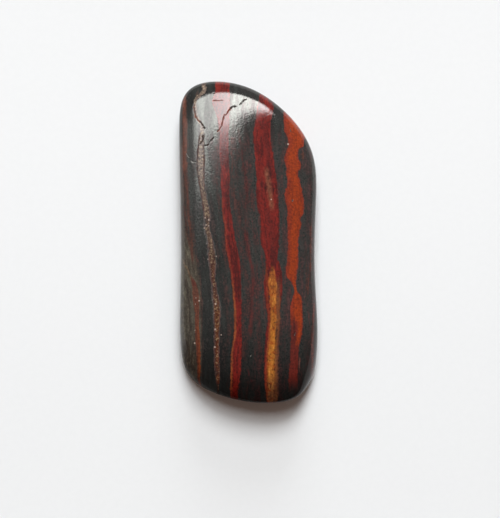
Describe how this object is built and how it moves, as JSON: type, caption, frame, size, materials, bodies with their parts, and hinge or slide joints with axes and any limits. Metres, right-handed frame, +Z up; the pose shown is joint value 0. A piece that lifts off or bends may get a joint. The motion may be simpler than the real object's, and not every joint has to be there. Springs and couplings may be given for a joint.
{
  "type": "mugglestone",
  "caption": "Tumbled and polished slice of mugglestone, a banded jasper and iron-ore rock, which lies on a small flat spot as a display stone or jewellery blank.",
  "frame": {"origin": "on the table, under the middle of the stone's outline", "axes": "+X across the bands towards the straight orange band, +Y along the stone towards its slanted end, +Z up from the flat spot it rests on"},
  "size_m": [0.0133, 0.0318, 0.0042],
  "materials": {
    "banded_ironstone": "polished"
  },
  "bodies": {
    "root": {"stone": "banded_ironstone"}
  },
  "joints": []
}
